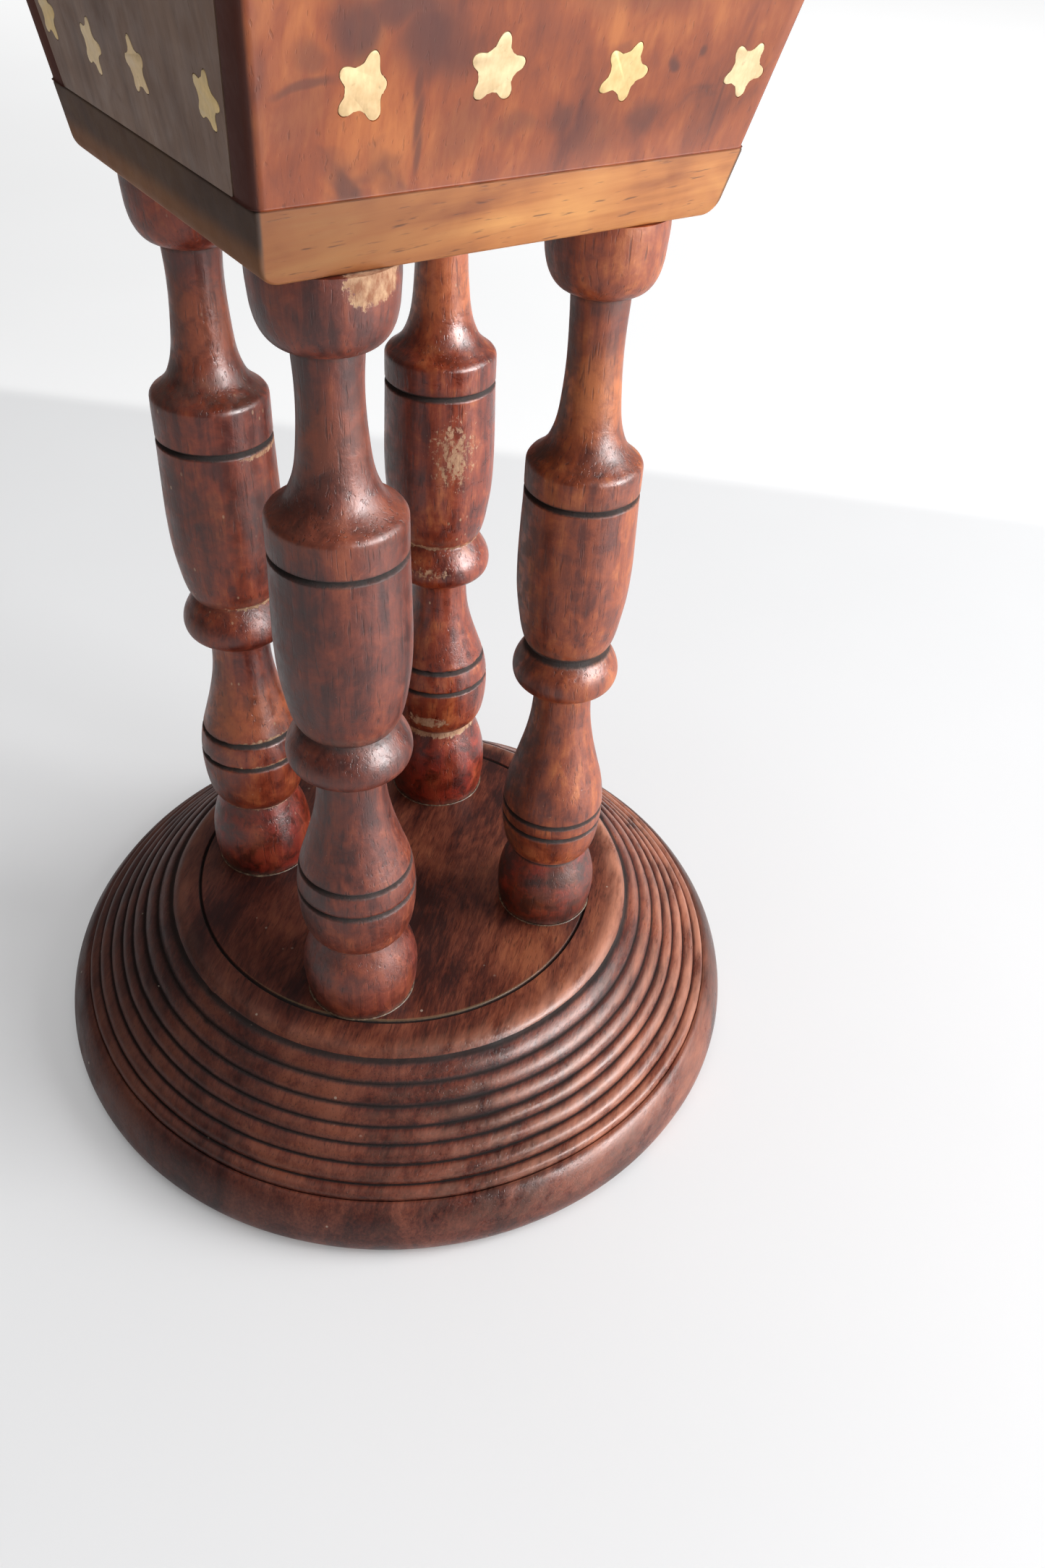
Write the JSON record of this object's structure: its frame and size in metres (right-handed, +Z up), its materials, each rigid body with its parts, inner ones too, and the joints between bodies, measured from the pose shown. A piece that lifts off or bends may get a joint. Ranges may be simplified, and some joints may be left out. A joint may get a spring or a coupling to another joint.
{
  "type": "sewing table",
  "caption": "Small sewing table: a flared wooden workbox with a hinged lid, a lift-out tray and star inlays, held by turned spindles on a round base turned in rings.",
  "frame": {"origin": "centre of the base's underside, on the surface the table stands on", "axes": "+Z up; -Y is the front of the box; the lid is hinged along the +Y side"},
  "size_m": [0.25, 0.25, 0.3953],
  "materials": {
    "base_wood": "dark red-brown stain, waxed, dirt in the grooves",
    "spindle_wood": "red-brown gloss stain with burnt rings and rubbed spots",
    "board_wood": "golden brown, satin",
    "panel_wood": "orange-brown with dark swirling figure, satin polish",
    "lid_wood": "orange-brown with dark figure, satin polish",
    "tray_wood": "plain brown, unpolished",
    "brass": "aged, lightly rubbed"
  },
  "bodies": {
    "table": {"base": "base_wood", "spindle_front_left": "spindle_wood", "spindle_front_right": "spindle_wood", "spindle_back_right": "spindle_wood", "spindle_back_left": "spindle_wood", "bottom_board": "board_wood", "front_panel": "panel_wood", "back_panel": "panel_wood", "left_panel": "panel_wood", "right_panel": "panel_wood", "tray_cleat_left": "tray_wood", "tray_cleat_right": "tray_wood", "tray_floor": "tray_wood", "tray_front": "tray_wood", "tray_back": "tray_wood", "tray_left": "tray_wood", "tray_right": "tray_wood", "tray_divider_long": "tray_wood", "tray_divider_left": "tray_wood", "tray_divider_right": "tray_wood", "star_front_1": "brass", "star_front_2": "brass", "star_front_3": "brass", "star_front_4": "brass", "star_right_1": "brass", "star_right_2": "brass", "star_right_3": "brass", "star_right_4": "brass", "star_back_1": "brass", "star_back_2": "brass", "star_back_3": "brass", "star_back_4": "brass", "star_left_1": "brass", "star_left_2": "brass", "star_left_3": "brass", "star_left_4": "brass", "hinge_left_box_leaf": "brass", "hinge_right_box_leaf": "brass", "hinge_left_pin": "brass", "hinge_right_pin": "brass", "screw_left_box_1": "brass", "screw_left_box_2": "brass", "screw_right_box_1": "brass", "screw_right_box_2": "brass"},
    "lid": {"lid_board": "lid_wood", "hinge_left_lid_leaf": "brass", "hinge_right_lid_leaf": "brass", "screw_left_lid_1": "brass", "screw_left_lid_2": "brass", "screw_right_lid_1": "brass", "screw_right_lid_2": "brass", "star_lid_1": "brass", "star_lid_2": "brass", "star_lid_3": "brass", "star_lid_4": "brass"}
  },
  "joints": [
    {"name": "lid_hinge", "type": "hinge", "parent": "table", "child": "lid", "pos_m": [0, 0.07981, 0.38315], "axis": [-1, 0, 0], "range_deg": [0, 104]}
  ]
}
